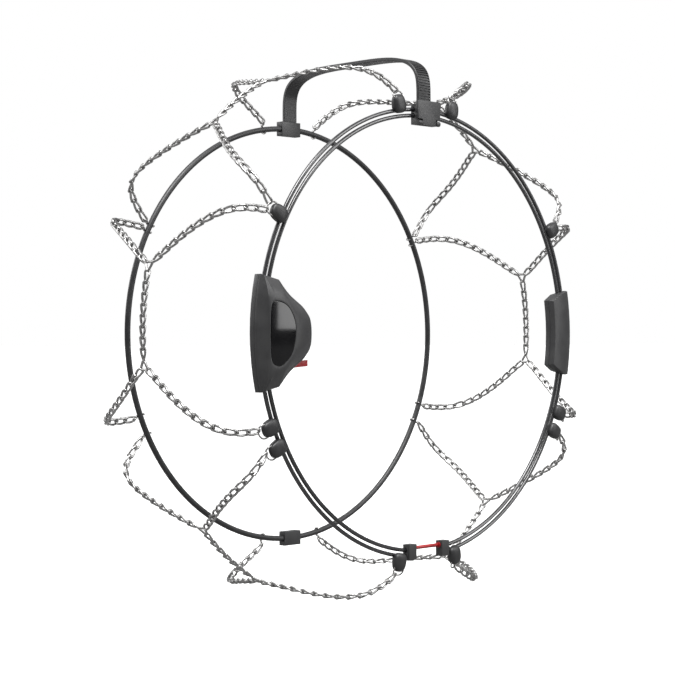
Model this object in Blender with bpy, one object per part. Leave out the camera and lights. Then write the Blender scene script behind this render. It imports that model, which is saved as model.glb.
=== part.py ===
"""Snow chain for a car tyre, in the shape that it takes when it is fitted.

The wheel's axis is the Y axis, the outer side of the wheel faces -Y, +Z is up and the origin is the
centre of the wheel. Angles around the wheel are in degrees from the top of the tyre, positive towards
+X. A side is -1 for the half at -X and +1 for the half at +X. All lengths are in metres.
"""

from math import asin, cos, degrees, pi, radians, sin, sqrt

import bmesh
import bpy
import numpy as np
from mathutils import Matrix, Vector

# The tyre that the chain fits: 225/50 R17.
TYRE_RADIUS = 0.3285
TYRE_HALF_WIDTH = 0.1130
WIDEST_RADIUS = 0.2770
SHOULDER_POWER = 4.0
BEAD_RADIUS = 0.2400

GAP = 0.0003
SIDES = {"left": -1, "right": 1}

# Steel chain of twisted links, as a plain tube of the links' outer width.
CHAIN_RADIUS = 0.0035
CHAIN_LIFT = 0.0045
CHAIN_STEP = 0.0150

# Triangular links on the middle of the tread, and the chains that join them in pairs.
JUNCTION_ANGLES = (26.5, 44.0, 76.0, 97.0, 131.6, 151.0)
CENTRE_PAIRS = ((0, 1), (2, 3), (4, 5))
TRIANGLE_HALF_BASE = 0.0080
TRIANGLE_LENGTH = 0.0140
TRIANGLE_HALF_THICKNESS = 0.0018

# Anchor caps that clip on the outer rod of the ring, by the angle of each.
CAP_ANGLES = {"top": 9.8, "upper": 61.1, "middle": 112.3, "lower": 117.6, "bottom": 169.8}
CAP_INNER_RADIUS = 0.2618
CAP_OUTER_RADIUS = 0.2840
CAP_HALF_WIDTH = 0.0095
CAP_HALF_DEPTH = 0.0062
CAP_Y = -0.1200
CAP_ROUNDNESS = 0.72

# Cross chains: junction, angle of both anchored ends, and the sideways bow of the route.
CROSS_ROUTES = (
    (0, 9.7, -0.22),
    (1, 60.1, 0.08),
    (2, 62.1, 0.08),
    (3, 111.7, 0.14),
    (4, 117.2, 0.07),
    (5, 169.4, -0.22),
)
OUTER_END_RADIUS = 0.2890
INNER_END_RADIUS = 0.2705

# Outer ring: two parallel rods in plastic sheaths. The hooks hold the outer one.
ROD_RADIUS = 0.0024
ROD_RADII = {"hook_rod": 0.2654, "slide_rod": 0.2582}
ROD_Y = -0.1170
ROD_STEP = 4.0
SOCKET_RADIUS = ROD_RADIUS + 2 * GAP

# Inner ring: one sheathed cable.
CABLE_RADIUS = 0.0035
CABLE_RING_RADIUS = 0.2620
CABLE_Y = 0.1180
CABLE_STEP = 5.0
INNER_BLOCK_Y = (0.1135, 0.1240)
INNER_BLOCK_Z = (0.2530, 0.2710)
STRAP_ANCHOR_HALF_WIDTH = 0.0160
CONNECTOR_HALF_WIDTH = 0.0140
CABLE_SOCKET_DEPTH = 0.0040

# Both housings: a tray against the tyre and a cover that closes it.
BACK_Y = -0.1135
FLOOR_Y = -0.1155
JOIN_Y = -0.1205
COVER_Y = JOIN_Y - GAP
WALL = 0.0024

# Tension housing, a D whose bulge towards the hub narrows to a neck at both ends.
D_OUTER_RADIUS = 0.2760
D_HALF_HEIGHT = 0.0645
D_HUB_SIDE = (
    (-0.1935, 0.0000),
    (-0.1942, 0.0100),
    (-0.1966, 0.0180),
    (-0.2018, 0.0245),
    (-0.2080, 0.0305),
    (-0.2165, 0.0360),
    (-0.2262, 0.0425),
    (-0.2345, 0.0500),
    (-0.2428, 0.0590),
)
D_EDGE_Y = -0.1255
D_FACE_Y = -0.1378
D_FACE_CENTRE_X = -0.2480
D_FACE_SCALE = (0.71, 0.66)
D_INNER_FACE_SCALE = (0.66, 0.61)
D_ROD_END_Z = 0.0565
BADGE_CORNERS = (
    (-0.2668, 0.0035),
    (-0.2648, 0.0305),
    (-0.2550, 0.0345),
    (-0.2404, 0.0285),
    (-0.2308, 0.0122),
    (-0.2304, -0.0053),
    (-0.2362, -0.0227),
    (-0.2481, -0.0334),
    (-0.2570, -0.0353),
    (-0.2655, -0.0278),
)
BADGE_RECESS_MARGIN = 0.0004
BADGE_RECESS_Y = -0.1366

REEL_X = -0.2385
REEL_RADIUS = 0.0240
REEL_BORE_RADIUS = 0.00275
AXLE_RADIUS = 0.0025
SPRING_RADII = (0.0064, 0.0172)
SPRING_TURNS = 4.0
SPRING_THICKNESS = 0.0006
SPRING_Y = (-0.1200, -0.1320)

LEVER_X = -0.2340
LEVER_Z = -0.0395
LEVER_Y = (-0.1160, -0.1185)
LEVER_PIN_RADIUS = 0.0016
SLOT_X = (-0.2318, -0.1880)
SLOT_Y = (-0.1157, -0.1190)
SLOT_Z = (-0.0440, -0.0290)

# Guide housing, a slim box opposite the tension housing.
SLIM_HUB_RADIUS = 0.2340
SLIM_HUB_HALF_HEIGHT = 0.0412
SLIM_CORNER = (0.2432, 0.0490)
SLIM_OUTER_RADIUS = 0.2727
SLIM_HALF_HEIGHT = 0.0543
SLIM_FACE_SLOPE = 0.0105
SLIM_EDGE_Y = -0.1230
SLIM_FACE_Y = -0.1280
SLIM_ROD_END_Z = 0.0470

# Top buckle with its ladder strap.
STRAP_HALF_WIDTH = 0.0110
STRAP_THICKNESS = 0.0040
STRAP_LIFT = 0.0038
STRAP_TAIL_Z = 0.2545
STRAP_INNER_END_RADIUS = 0.2716
TOOTH_PITCH = 0.0032
TOOTH_WIDTH = 0.0012
TOOTH_DEPTH = 0.0010
TOOTH_SLOPE = 0.0002
FIRST_TOOTH = 0.0025
TOOTH_COUNT = 24
STRAP_STEP = 0.0120

BUCKLE_HALF_WIDTH = 0.0185
BUCKLE_Z = (0.2470, 0.2715)
BUCKLE_FLOOR_Y = -0.1145
BUCKLE_FACE_Y = -0.1226
BUCKLE_GROOVE_HALF_WIDTH = 0.0116
BUCKLE_ROD_END_X = 0.0150
PLATE_Y = (-0.1230, -0.1262)
PLATE_PIN = (-0.1245, 0.2492)
PLATE_PIN_HALF_LENGTH = 0.0180
EAR_RADIUS = 0.0030
EAR_X = (0.0125, 0.0185)
PAWL_PIN = (-0.12105, 0.2575)
PAWL_PIN_HALF_LENGTH = 0.0132
PAWL_HALF_WIDTH = 0.0095
BUCKLE_PIN_RADIUS = 0.0008
BUCKLE_BORE_RADIUS = 0.00095

# Bottom coupling: a block on each half of the ring, held together by a sliding pin.
BLOCK_X = (0.0225, 0.0350)
BLOCK_FACE_Y = -0.1240
BLOCK_Z = (-0.2675, -0.2490)
BLOCK_ROD_END_X = 0.0320
LOCK_PIN_RADIUS = 0.0022
LOCK_PIN_X = (-0.0275, 0.0255)
LOCK_PIN_Y = -0.1185
LOCK_PIN_Z = -0.2540
LOCK_BORE_RADIUS = 0.00245
LOCK_BORE_END_X = 0.0313
COLLAR_X = (0.0205, 0.0222)
COLLAR_RADIUS = 0.0034


def clear_scene():
    for obj in list(bpy.data.objects):
        bpy.data.objects.remove(obj, do_unlink=True)


def new_finish(name, colour, metallic, roughness):
    material = bpy.data.materials.new(name)
    material.use_nodes = True
    shader = material.node_tree.nodes["Principled BSDF"]
    shader.inputs["Base Color"].default_value = (*colour, 1.0)
    shader.inputs["Metallic"].default_value = metallic
    shader.inputs["Roughness"].default_value = roughness
    return material


# ---------------------------------------------------------------- modelling steps


def place(name, data, material=None):
    obj = bpy.data.objects.new(name, data)
    bpy.context.collection.objects.link(obj)
    if material:
        data.materials.append(material)
    return obj


def mesh_from(bm, name):
    bmesh.ops.recalc_face_normals(bm, faces=bm.faces)
    mesh = bpy.data.meshes.new(name)
    bm.to_mesh(mesh)
    bm.free()
    return mesh


def combine(obj, operand, operation):
    """A live Boolean: operation is UNION or DIFFERENCE."""
    modifier = obj.modifiers.new(operand.name, "BOOLEAN")
    modifier.operation = operation
    modifier.solver = "EXACT"
    modifier.object = operand
    operand.hide_render = True
    operand.display_type = "WIRE"


def move_origin(obj, point):
    """Puts the object's origin on a joint's axis and leaves its shape where it is."""
    obj.data.transform(Matrix.Translation(-Vector(point)))
    obj.location = point


def round_rod(name, points, radius, material=None, resolution=1):
    """A round rod along a list of points, closed at both ends."""
    curve = bpy.data.curves.new(name, "CURVE")
    curve.dimensions = "3D"
    curve.bevel_depth = radius
    curve.bevel_resolution = resolution
    curve.use_fill_caps = True
    spline = curve.splines.new("POLY")
    spline.points.add(len(points) - 1)
    for target, point in zip(spline.points, points):
        target.co = (*point, 1.0)
    return place(name, curve, material)


def rod_mesh(name, points, radius, resolution=1):
    """The same rod as a closed mesh, for shapes that a Boolean joins or cuts."""
    guide = round_rod(name + "_guide", points, radius, None, resolution)
    evaluated = guide.evaluated_get(bpy.context.evaluated_depsgraph_get())
    mesh = bpy.data.meshes.new_from_object(evaluated)
    bpy.data.objects.remove(guide, do_unlink=True)
    bm = bmesh.new()
    bm.from_mesh(mesh)
    bmesh.ops.remove_doubles(bm, verts=bm.verts, dist=1e-6)
    return mesh_from(bm, name)


def box(name, low, high, material=None):
    bm = bmesh.new()
    bmesh.ops.create_cube(bm, size=1.0)
    size = Vector(high) - Vector(low)
    bmesh.ops.scale(bm, vec=size, verts=bm.verts)
    bmesh.ops.translate(bm, vec=(Vector(low) + Vector(high)) / 2, verts=bm.verts)
    return place(name, mesh_from(bm, name), material)


def cylinder(name, start, end, radius, sides, material=None):
    direction = Vector(end) - Vector(start)
    turn = direction.to_track_quat("Z", "Y").to_matrix().to_4x4()
    middle = Matrix.Translation((Vector(start) + Vector(end)) / 2)
    bm = bmesh.new()
    bmesh.ops.create_cone(
        bm,
        cap_ends=True,
        segments=sides,
        radius1=radius,
        radius2=radius,
        depth=direction.length,
        matrix=middle @ turn,
    )
    return place(name, mesh_from(bm, name), material)


def prism(name, outline, y_range, material=None):
    """A solid with the same outline in the XZ plane at both of its ends."""
    bm = bmesh.new()
    back, front = ([bm.verts.new((x, y, z)) for x, z in outline] for y in y_range)
    for i in range(len(outline)):
        j = (i + 1) % len(outline)
        bm.faces.new((back[i], back[j], front[j], front[i]))
    bm.faces.new(back)
    bm.faces.new(front)
    return place(name, mesh_from(bm, name), material)


def turned(name, profile, centre, sides, material):
    """Turns a closed outline of (radius, y) points around an axis that is parallel to Y."""
    bm = bmesh.new()
    corners = [bm.verts.new((radius, y, 0.0)) for radius, y in profile]
    edges = [bm.edges.new((a, b)) for a, b in zip(corners, corners[1:] + corners[:1])]
    bmesh.ops.spin(
        bm, geom=corners + edges, cent=(0, 0, 0), axis=(0, 1, 0), angle=2 * pi, steps=sides
    )
    bmesh.ops.remove_doubles(bm, verts=bm.verts, dist=1e-6)
    bmesh.ops.translate(bm, vec=(centre[0], 0.0, centre[1]), verts=bm.verts)
    return place(name, mesh_from(bm, name), material)


# ---------------------------------------------------------------- places on the wheel


def polar(radius, angle, y):
    return Vector((radius * sin(radians(angle)), y, radius * cos(radians(angle))))


def angle_at(radius, offset):
    """The angle whose sine puts a point of this radius at the offset."""
    return degrees(asin(offset / radius))


def arc(radius, y, start, end, step):
    count = max(2, round(abs(end - start) / step) + 1)
    return [polar(radius, angle, y) for angle in np.linspace(start, end, count)]


def section_table(lift):
    """Distance from the tread's middle, y and radius along half of the tyre's cross-section."""
    turn = np.linspace(0.0, pi / 2, 400)
    height = TYRE_RADIUS - WIDEST_RADIUS + lift
    y = (TYRE_HALF_WIDTH + lift) * np.sin(turn) ** (2 / SHOULDER_POWER)
    radius = WIDEST_RADIUS + height * np.abs(np.cos(turn)) ** (2 / SHOULDER_POWER)
    y = np.append(y, y[-1])
    radius = np.append(radius, BEAD_RADIUS)
    steps = np.hypot(np.diff(y), np.diff(radius))
    return np.concatenate([[0.0], np.cumsum(steps)]), y, radius


def distance_at_radius(table, wanted):
    distance, _, radius = table
    return float(np.interp(-wanted, -radius, distance))


def on_tyre(table, angle, distance):
    """The point this far from the tread's middle; positive distances go to the outer side, -Y."""
    distances, ys, radii = table
    y = float(np.interp(abs(distance), distances, ys))
    radius = float(np.interp(abs(distance), distances, radii))
    return polar(radius, angle, -y if distance > 0 else y)


# ---------------------------------------------------------------- chain net


def cross_route(table, side, junction, end_angle, bow):
    """From the anchor on the outer side, over the triangular link, to the inner ring."""
    start_angle = JUNCTION_ANGLES[junction]
    reach_out = distance_at_radius(table, OUTER_END_RADIUS)
    reach_in = distance_at_radius(table, INNER_END_RADIUS)
    points = []
    for reach, sign in ((reach_out, 1), (reach_in, -1)):
        count = round((reach - TRIANGLE_HALF_BASE) / CHAIN_STEP) + 1
        leg = []
        for distance in np.linspace(TRIANGLE_HALF_BASE, reach, count):
            along = (distance - TRIANGLE_HALF_BASE) / (reach - TRIANGLE_HALF_BASE)
            share = along + bow * sin(pi * along)
            angle = side * (start_angle + (end_angle - start_angle) * share)
            leg.append(on_tyre(table, angle, sign * distance))
        points += leg[::-1] if sign > 0 else leg
    return points


def triangle_link(name, table, side, junction, towards):
    """A flat triangle on the tread, its base across the tread and its tip along it."""
    radius = on_tyre(table, 0.0, 0.0).length
    turn = degrees(TRIANGLE_LENGTH / radius) * (1 if towards > 0 else -1)
    angle = JUNCTION_ANGLES[junction]
    bm = bmesh.new()
    layers = []
    for height in (-TRIANGLE_HALF_THICKNESS, TRIANGLE_HALF_THICKNESS):
        base = side * angle
        tip = side * (angle + turn)
        corners = (
            polar(radius + height, base, -TRIANGLE_HALF_BASE),
            polar(radius + height, base, TRIANGLE_HALF_BASE),
            polar(radius + height, tip, 0.0),
        )
        layers.append([bm.verts.new(corner) for corner in corners])
    bm.faces.new(layers[0])
    bm.faces.new(layers[1])
    for i in range(3):
        j = (i + 1) % 3
        bm.faces.new((layers[0][i], layers[0][j], layers[1][j], layers[1][i]))
    return place(name, mesh_from(bm, name))


def add_chains(steel):
    table = section_table(CHAIN_LIFT)
    partner = {a: 1 for a, _ in CENTRE_PAIRS} | {b: -1 for _, b in CENTRE_PAIRS}
    for side_name, side in SIDES.items():
        for junction, end_angle, bow in CROSS_ROUTES:
            name = f"cross_chain_{side_name}_{junction + 1}"
            route = cross_route(table, side, junction, end_angle, bow)
            chain = place(name, rod_mesh(name, route, CHAIN_RADIUS), steel)
            link = triangle_link(f"{name}_link", table, side, junction, partner[junction])
            combine(chain, link, "UNION")
        add_centre_chains(table, side_name, side, steel)


def add_centre_chains(table, side_name, side, steel):
    radius = on_tyre(table, 0.0, 0.0).length
    clear = degrees((TRIANGLE_LENGTH + 2 * GAP) / radius)
    for number, (first, second) in enumerate(CENTRE_PAIRS, start=1):
        start = side * (JUNCTION_ANGLES[first] + clear)
        end = side * (JUNCTION_ANGLES[second] - clear)
        route = arc(radius, 0.0, start, end, degrees(CHAIN_STEP / radius))
        round_rod(f"centre_chain_{side_name}_{number}", route, CHAIN_RADIUS, steel)


# ---------------------------------------------------------------- anchors and rings


def cap_mesh():
    """A rounded box of a cap, in its own frame: Z away from the hub, Y along the axle."""
    half_length = (CAP_OUTER_RADIUS - CAP_INNER_RADIUS) / 2
    middle = (CAP_OUTER_RADIUS + CAP_INNER_RADIUS) / 2
    bm = bmesh.new()
    bmesh.ops.create_uvsphere(bm, u_segments=12, v_segments=8, radius=1.0)
    for vert in bm.verts:
        vert.co = [np.sign(share) * abs(share) ** CAP_ROUNDNESS for share in vert.co]
    bmesh.ops.scale(bm, vec=(CAP_HALF_WIDTH, CAP_HALF_DEPTH, half_length), verts=bm.verts)
    cap = place("cap_body", mesh_from(bm, "cap_body"))
    start = (-0.012, ROD_Y - CAP_Y, ROD_RADII["hook_rod"] - middle)
    end = (0.012, start[1], start[2])
    combine(cap, cylinder("cap_bore", start, end, SOCKET_RADIUS, 12), "DIFFERENCE")
    bpy.context.view_layer.update()
    evaluated = cap.evaluated_get(bpy.context.evaluated_depsgraph_get())
    mesh = bpy.data.meshes.new_from_object(evaluated)
    bpy.data.objects.remove(cap, do_unlink=True)
    return mesh, middle


def add_caps(plastic):
    mesh, middle = cap_mesh()
    mesh.materials.append(plastic)
    for side_name, side in SIDES.items():
        for place_name, angle in CAP_ANGLES.items():
            cap = place(f"anchor_{side_name}_{place_name}", mesh)
            cap.location = polar(middle, side * angle, CAP_Y)
            cap.rotation_euler = (0.0, radians(side * angle), 0.0)


def ring_gaps(side_name, radius):
    """Angles at which this side's two rods start and end: buckle, housing and bottom block."""
    housing_z = D_ROD_END_Z if side_name == "left" else SLIM_ROD_END_Z
    top = angle_at(radius, BUCKLE_ROD_END_X)
    half = angle_at(radius, housing_z)
    bottom = 180.0 - angle_at(radius, BLOCK_ROD_END_X)
    return (top, 90.0 - half), (90.0 + half, bottom)


def add_outer_ring(sheath):
    for side_name, side in SIDES.items():
        for rod_name, radius in ROD_RADII.items():
            for part, span in zip(("upper", "lower"), ring_gaps(side_name, radius)):
                route = arc(radius, ROD_Y, side * span[0], side * span[1], ROD_STEP)
                name = f"{rod_name}_{side_name}_{part}"
                round_rod(name, route, ROD_RADIUS, sheath, resolution=2)


def cut_rod_sockets(obj, side, start, end):
    """Bores for both rods of the outer ring between two angles."""
    for rod_name, radius in ROD_RADII.items():
        name = f"{obj.name}_{rod_name}_{side}_{round(start)}"
        route = arc(radius, ROD_Y, side * start, side * end, 1.0)
        combine(obj, place(name, rod_mesh(name, route, SOCKET_RADIUS, 2)), "DIFFERENCE")


def add_inner_ring(sheath, plastic):
    """The cable behind the tyre, from the strap's anchor at the top to a connector at the bottom."""
    blocks = (
        ("strap_anchor", STRAP_ANCHOR_HALF_WIDTH, 0.0, INNER_BLOCK_Z),
        ("inner_connector", CONNECTOR_HALF_WIDTH, 180.0, (-INNER_BLOCK_Z[1], -INNER_BLOCK_Z[0])),
    )
    cable_ends = []
    for name, half_width, middle, z_range in blocks:
        low = (-half_width, INNER_BLOCK_Y[0], z_range[0])
        high = (half_width, INNER_BLOCK_Y[1], z_range[1])
        block = box(name, low, high, plastic)
        inside = angle_at(CABLE_RING_RADIUS, half_width - CABLE_SOCKET_DEPTH)
        outside = angle_at(CABLE_RING_RADIUS, half_width + CABLE_SOCKET_DEPTH)
        cable_end = angle_at(CABLE_RING_RADIUS, half_width - CABLE_SOCKET_DEPTH + 2 * GAP)
        cable_ends.append(abs(middle - cable_end))
        for side in SIDES.values():
            socket = f"{name}_socket_{side}"
            route = arc(CABLE_RING_RADIUS, CABLE_Y, middle + side * inside, middle + side * outside, 1.0)
            bore = place(socket, rod_mesh(socket, route, CABLE_RADIUS + 2 * GAP, 2))
            combine(block, bore, "DIFFERENCE")
    for side_name, side in SIDES.items():
        start, end = (side * angle for angle in cable_ends)
        route = arc(CABLE_RING_RADIUS, CABLE_Y, start, end, CABLE_STEP)
        round_rod(f"inner_cable_{side_name}", route, CABLE_RADIUS, sheath, resolution=2)


# ---------------------------------------------------------------- tension housing


def rounded(corners, steps):
    """A closed smooth curve through the corners."""
    ring = np.array(corners)
    points = []
    for i in range(len(ring)):
        before, start, end, after = (ring[(i + k) % len(ring)] for k in (-1, 0, 1, 2))
        for t in np.arange(steps) / steps:
            bend = (2 * before - 5 * start + 4 * end - after) * t**2
            twist = (3 * start - before - 3 * end + after) * t**3
            points.append(tuple((2 * start + (end - before) * t + bend + twist) / 2))
    return points


def drawn_in(outline, inset):
    """A closed outline moved inwards by inset; a negative inset moves it outwards."""
    ring = np.array(outline)
    before, after = np.roll(ring, 1, axis=0), np.roll(ring, -1, axis=0)
    area = np.sum(ring[:, 0] * after[:, 1] - after[:, 0] * ring[:, 1])
    normals = []
    for step in (ring - before, after - ring):
        step = step / np.linalg.norm(step, axis=1)[:, None]
        normals.append(np.stack((-step[:, 1], step[:, 0]), axis=1) * np.sign(area))
    middle = normals[0] + normals[1]
    reach = 2 * inset / np.sum(middle**2, axis=1)
    return [tuple(point) for point in ring + middle * reach[:, None]]


def d_outline(inset):
    """The D seen from the outer side, drawn inwards by inset."""
    hub_side = [(x, -z) for x, z in D_HUB_SIDE[:0:-1]] + list(D_HUB_SIDE)
    beyond = [tuple(2 * np.array(hub_side[i]) - hub_side[j]) for i, j in ((0, 1), (-1, -2))]
    curve = rounded([beyond[0]] + hub_side + [beyond[1]], 2)
    tread_side = []
    for z in np.linspace(D_HALF_HEIGHT, -D_HALF_HEIGHT, 9):
        tread_side.append((-sqrt(D_OUTER_RADIUS**2 - z**2), z))
    return drawn_in(curve[2 : 2 * len(hub_side) + 1] + tread_side, inset)


def scaled(outline, centre_x, scale):
    return [(centre_x + (x - centre_x) * scale[0], z * scale[1]) for x, z in outline]


def cover_shell(name, outer, inner, material):
    """An open shell: rising outer outlines, and the same number of inner ones below them."""
    bm = bmesh.new()
    walls = []
    for levels in (outer, inner):
        walls.append([[bm.verts.new((x, y, z)) for x, z in outline] for outline, y in levels])
    rings = walls[0][::-1] + walls[1]
    for lower, upper in zip(rings, rings[1:]):
        for i in range(len(lower)):
            j = (i + 1) % len(lower)
            bm.faces.new((lower[i], lower[j], upper[j], upper[i]))
    bm.faces.new(rings[0])
    bm.faces.new(rings[-1])
    return place(name, mesh_from(bm, name), material)


def add_tray(name, outline, plastic):
    """A tray with an outline, its floor against the tyre."""
    tray = prism(name, outline(0.0), (BACK_Y, JOIN_Y), plastic)
    hollow = prism(f"{name}_hollow", outline(WALL), (FLOOR_Y, JOIN_Y - WALL))
    combine(tray, hollow, "DIFFERENCE")
    return tray


def add_tension_housing(plastic, gloss):
    tray = add_tray("tension_housing_base", d_outline, plastic)
    slot_low = (SLOT_X[0], SLOT_Y[1], SLOT_Z[0])
    slot_high = (SLOT_X[1], SLOT_Y[0], SLOT_Z[1])
    combine(tray, box("lever_slot", slot_low, slot_high), "DIFFERENCE")
    end = angle_at(ROD_RADII["slide_rod"], D_ROD_END_Z)
    cut_rod_sockets(tray, SIDES["left"], 90.0 - end - 3.0, 90.0 - end + 1.0)
    cut_rod_sockets(tray, SIDES["left"], 90.0 + end - 1.0, 90.0 + end + 3.0)

    face = scaled(d_outline(0.0), D_FACE_CENTRE_X, D_FACE_SCALE)
    outer = [(d_outline(0.0), COVER_Y), (d_outline(0.0006), D_EDGE_Y), (face, D_FACE_Y)]
    inner_face = scaled(d_outline(0.0), D_FACE_CENTRE_X, D_INNER_FACE_SCALE)
    inner = [(d_outline(WALL), COVER_Y), (d_outline(WALL), D_EDGE_Y + WALL / 2)]
    inner.append((inner_face, D_FACE_Y + WALL))
    cover = cover_shell("tension_housing_cover", outer, inner, plastic)
    badge = rounded(BADGE_CORNERS, 3)
    recess = drawn_in(badge, -BADGE_RECESS_MARGIN)
    cutter = prism("badge_recess", recess, (BADGE_RECESS_Y, D_FACE_Y - WALL))
    combine(cover, cutter, "DIFFERENCE")
    prism("badge", badge, (BADGE_RECESS_Y - GAP, D_FACE_Y - GAP), gloss)


def add_reel(plastic, steel):
    """The spool that takes up the ring's slack, with its flat spiral spring and its axle."""
    profile = (
        (REEL_BORE_RADIUS, -0.1162),
        (REEL_RADIUS, -0.1162),
        (REEL_RADIUS, -0.1177),
        (0.0205, -0.1190),
        (0.0205, -0.1302),
        (REEL_RADIUS, -0.1315),
        (REEL_RADIUS, -0.1330),
        (0.0182, -0.1330),
        (0.0182, -0.1194),
        (0.0055, -0.1194),
        (0.0055, -0.1328),
        (REEL_BORE_RADIUS, -0.1328),
    )
    reel = turned("reel", profile, (REEL_X, 0.0), 32, plastic)
    move_origin(reel, (REEL_X, 0.0, 0.0))
    start = (REEL_X, FLOOR_Y - GAP, 0.0)
    cylinder("reel_axle", start, (REEL_X, -0.1345, 0.0), AXLE_RADIUS, 16, steel)

    bm = bmesh.new()
    rings = []
    for share in np.linspace(0.0, 1.0, round(SPRING_TURNS * 14) + 1):
        turn = 2 * pi * SPRING_TURNS * share
        inner = SPRING_RADII[0] + (SPRING_RADII[1] - SPRING_RADII[0]) * share
        ring = []
        for radius, y in (
            (inner, SPRING_Y[0]),
            (inner + SPRING_THICKNESS, SPRING_Y[0]),
            (inner + SPRING_THICKNESS, SPRING_Y[1]),
            (inner, SPRING_Y[1]),
        ):
            ring.append(bm.verts.new((REEL_X + radius * cos(turn), y, radius * sin(turn))))
        rings.append(ring)
    for lower, upper in zip(rings, rings[1:]):
        for i in range(4):
            j = (i + 1) % 4
            bm.faces.new((lower[i], lower[j], upper[j], upper[i]))
    bm.faces.new(rings[0])
    bm.faces.new(rings[-1])
    spring = place("spiral_spring", mesh_from(bm, "spiral_spring"), steel)
    move_origin(spring, (REEL_X, 0.0, 0.0))


def add_release_lever(red, steel):
    """The lever whose shoe holds the reel's rim and whose tab comes out of the housing."""
    corners = (
        (-0.0042, -0.0015),
        (-0.0015, -0.0040),
        (0.0025, -0.0036),
        (0.0090, 0.0006),
        (0.0400, 0.0027),
        (0.0400, 0.0097),
        (0.0110, 0.0074),
        (0.0055, 0.0065),
        (0.0035, 0.0152),
        (-0.0030, 0.0148),
        (-0.0044, 0.0040),
    )
    outline = [(LEVER_X + x, LEVER_Z + z) for x, z in corners]
    lever = prism("release_lever", outline, LEVER_Y, red)
    start = Vector((LEVER_X, LEVER_Y[0] + WALL, LEVER_Z))
    end = Vector((LEVER_X, LEVER_Y[1] - WALL, LEVER_Z))
    bore = cylinder("release_lever_bore", start, end, LEVER_PIN_RADIUS + GAP, 16)
    combine(lever, bore, "DIFFERENCE")
    move_origin(lever, (LEVER_X, 0.0, LEVER_Z))
    start.y = FLOOR_Y - GAP
    end.y = JOIN_Y
    cylinder("release_lever_pin", start, end, LEVER_PIN_RADIUS, 16, steel)


# ---------------------------------------------------------------- guide housing


def slim_outline(inset, slope=0.0):
    """The slim housing seen from the outer side; slope takes the tread side further in."""
    outer_radius = SLIM_OUTER_RADIUS - slope
    points = []
    for z in np.linspace(SLIM_HALF_HEIGHT, -SLIM_HALF_HEIGHT, 9):
        points.append((sqrt(outer_radius**2 - z**2), z))
    points.append((SLIM_CORNER[0], -SLIM_CORNER[1]))
    for z in np.linspace(-SLIM_HUB_HALF_HEIGHT, SLIM_HUB_HALF_HEIGHT, 7):
        points.append((sqrt(SLIM_HUB_RADIUS**2 - z**2), z))
    points.append(SLIM_CORNER)
    return drawn_in(points, inset)


def add_guide_housing(plastic):
    tray = add_tray("guide_housing_base", slim_outline, plastic)
    end = angle_at(ROD_RADII["slide_rod"], SLIM_ROD_END_Z)
    cut_rod_sockets(tray, SIDES["right"], 90.0 - end - 3.0, 90.0 - end + 1.0)
    cut_rod_sockets(tray, SIDES["right"], 90.0 + end - 1.0, 90.0 + end + 3.0)
    outer = [(slim_outline(0.0), COVER_Y), (slim_outline(0.0006), SLIM_EDGE_Y)]
    outer.append((slim_outline(0.0015, SLIM_FACE_SLOPE), SLIM_FACE_Y))
    inner = [(slim_outline(WALL), COVER_Y), (slim_outline(WALL), SLIM_EDGE_Y + WALL / 2)]
    inner.append((slim_outline(0.0015 + WALL, SLIM_FACE_SLOPE), SLIM_FACE_Y + WALL))
    cover_shell("guide_housing_cover", outer, inner, plastic)


# ---------------------------------------------------------------- top buckle


def add_strap(rubber):
    """The ladder strap: over the tread at the top, toothed from its tail to the shoulder."""
    table = section_table(STRAP_LIFT)
    tail = distance_at_radius(table, STRAP_TAIL_Z)
    inner_end = -distance_at_radius(table, STRAP_INNER_END_RADIUS)
    stations = [(0.0, 0.0)]
    for tooth in range(TOOTH_COUNT):
        middle = FIRST_TOOTH + TOOTH_PITCH * tooth
        half = TOOTH_WIDTH / 2
        stations += [(middle - half - TOOTH_SLOPE, 0.0), (middle - half, TOOTH_DEPTH)]
        stations += [(middle + half, TOOTH_DEPTH), (middle + half + TOOTH_SLOPE, 0.0)]
    last = stations[-1][0]
    length = tail - inner_end
    count = round((length - last) / STRAP_STEP)
    stations += [(d, TOOTH_DEPTH) for d in np.linspace(last + 0.002, length, count)]

    half = STRAP_THICKNESS / 2
    bm = bmesh.new()
    rings = []
    for distance, height in stations:
        here = on_tyre(table, 0.0, tail - distance)
        ahead = on_tyre(table, 0.0, tail - distance - 0.001)
        behind = on_tyre(table, 0.0, tail - distance + 0.001)
        along = (ahead - behind).normalized()
        outward = Vector((1.0, 0.0, 0.0)).cross(along)
        if outward.dot(Vector((0.0, here.y, 0.1))) < 0.0:
            outward = -outward
        top = half - TOOTH_DEPTH + height
        ring = []
        for x, lift in (
            (-STRAP_HALF_WIDTH, -half),
            (STRAP_HALF_WIDTH, -half),
            (STRAP_HALF_WIDTH, top),
            (-STRAP_HALF_WIDTH, top),
        ):
            ring.append(bm.verts.new(here + outward * lift + Vector((x, 0.0, 0.0))))
        rings.append(ring)
    for lower, upper in zip(rings, rings[1:]):
        for i in range(4):
            j = (i + 1) % 4
            bm.faces.new((lower[i], lower[j], upper[j], upper[i]))
    bm.faces.new(rings[0])
    bm.faces.new(rings[-1])
    place("ladder_strap", mesh_from(bm, "ladder_strap"), rubber)


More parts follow.
